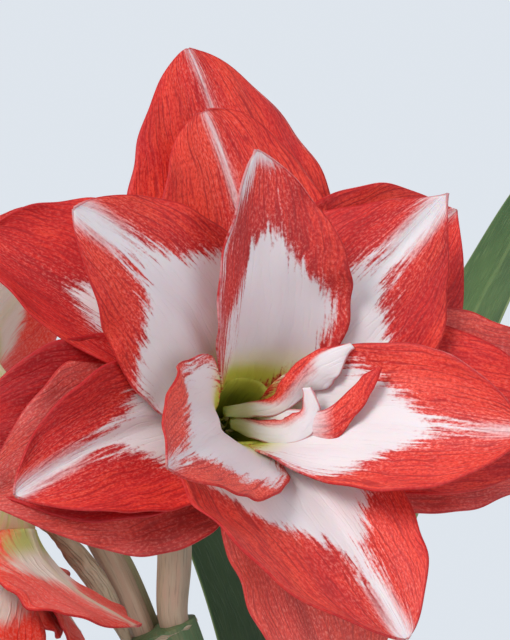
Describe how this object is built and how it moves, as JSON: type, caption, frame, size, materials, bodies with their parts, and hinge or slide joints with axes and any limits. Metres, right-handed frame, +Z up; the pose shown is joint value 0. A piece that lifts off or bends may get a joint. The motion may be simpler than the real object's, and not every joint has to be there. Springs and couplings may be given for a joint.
{
  "type": "potted amaryllis",
  "caption": "A semi-double red and white amaryllis in bloom on a leaning green scape, with strap leaves, a bulb half out of its soil and a plain clay pot",
  "frame": {"origin": "the middle of the pot's flat base, on the surface it stands on", "axes": "+Z up, +Y to the back, +X to the right of someone who looks at the front bloom"},
  "size_m": [0.4572, 0.3452, 0.6203],
  "materials": {
    "clay": "matte",
    "soil": "matte",
    "bulb": "satin",
    "scape": "satin",
    "pedicel": "satin",
    "petal": "satin",
    "bract": "matte",
    "leaf": "satin"
  },
  "bodies": {
    "root": {"pot": "clay", "soil": "soil", "bulb": "bulb", "scape": "scape", "pedicel_front": "pedicel", "pedicel_left": "pedicel", "pedicel_back_left": "pedicel", "pedicel_back_right": "pedicel", "bloom_front": "petal", "bloom_left": "petal", "bloom_back_left": "petal", "bloom_back_right": "petal", "bract_left": "bract", "bract_back": "bract", "leaf_1": "leaf", "leaf_2": "leaf", "leaf_3": "leaf", "leaf_4": "leaf", "leaf_5": "leaf", "leaf_6": "leaf"}
  },
  "joints": []
}
